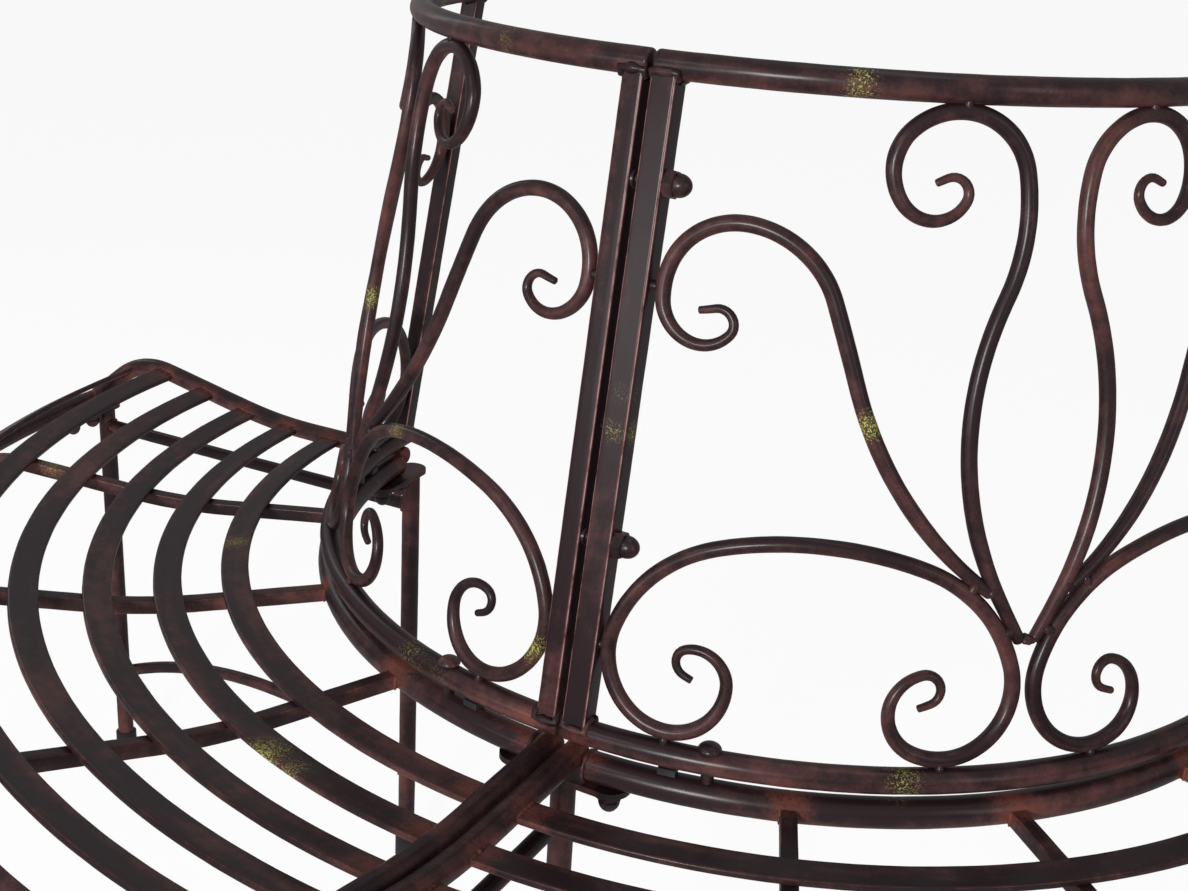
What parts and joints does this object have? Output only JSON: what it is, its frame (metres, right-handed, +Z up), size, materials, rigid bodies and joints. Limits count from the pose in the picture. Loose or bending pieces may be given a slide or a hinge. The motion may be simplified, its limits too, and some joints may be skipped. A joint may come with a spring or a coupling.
{
  "type": "tree bench",
  "caption": "Half-round metal tree bench: two curved slatted seat segments with scrollwork backrests on three leg frames.",
  "frame": {"origin": "centre of the bounding box on the floor, between the soles of the six foot caps", "axes": "+X from the left free end to the right free end, -Y to the front where the middle leg frame stands, +Z up"},
  "size_m": [1.4572, 0.7296, 0.841],
  "materials": {
    "bronze_paint": "dark antique bronze paint, semi-gloss, rubbed reddish brown on edges",
    "fastener_paint": "dark bronze painted bolts, studs and acorn nuts, semi-gloss",
    "black_plastic": "moulded black, matt"
  },
  "bodies": {
    "root": {"acorn_nuts": "fastener_paint", "back_bolts": "fastener_paint", "bearer_bars": "bronze_paint", "bottom_rail_left": "bronze_paint", "bottom_rail_right": "bronze_paint", "cross_bar_left": "bronze_paint", "cross_bar_middle": "bronze_paint", "cross_bar_right": "bronze_paint", "end_post_left": "bronze_paint", "end_post_right": "bronze_paint", "foot_caps": "black_plastic", "inner_leg_left": "bronze_paint", "inner_leg_middle": "bronze_paint", "inner_leg_right": "bronze_paint", "leg_plates": "bronze_paint", "leg_studs": "fastener_paint", "lower_scroll_left_a": "bronze_paint", "lower_scroll_left_b": "bronze_paint", "lower_scroll_right_a": "bronze_paint", "lower_scroll_right_b": "bronze_paint", "middle_post_left": "bronze_paint", "middle_post_right": "bronze_paint", "middle_scroll_left_a": "bronze_paint", "middle_scroll_left_b": "bronze_paint", "middle_scroll_right_a": "bronze_paint", "middle_scroll_right_b": "bronze_paint", "outer_leg_left": "bronze_paint", "outer_leg_middle": "bronze_paint", "outer_leg_right": "bronze_paint", "post_bolts": "fastener_paint", "rail_pads": "black_plastic", "rim_rail_left": "bronze_paint", "rim_rail_right": "bronze_paint", "seat_rail_left": "bronze_paint", "seat_rail_right": "bronze_paint", "seat_tube_end_left": "bronze_paint", "seat_tube_end_right": "bronze_paint", "seat_tube_middle_left": "bronze_paint", "seat_tube_middle_right": "bronze_paint", "slat_1_left": "bronze_paint", "slat_1_right": "bronze_paint", "slat_2_left": "bronze_paint", "slat_2_right": "bronze_paint", "slat_3_left": "bronze_paint", "slat_3_right": "bronze_paint", "slat_4_left": "bronze_paint", "slat_4_right": "bronze_paint", "slat_5_left": "bronze_paint", "slat_5_right": "bronze_paint", "slat_6_left": "bronze_paint", "slat_6_right": "bronze_paint", "stretcher_left": "bronze_paint", "stretcher_middle": "bronze_paint", "stretcher_right": "bronze_paint", "top_rail_left": "bronze_paint", "top_rail_right": "bronze_paint", "upper_scroll_left_a": "bronze_paint", "upper_scroll_left_b": "bronze_paint", "upper_scroll_right_a": "bronze_paint", "upper_scroll_right_b": "bronze_paint"}
  },
  "joints": []
}
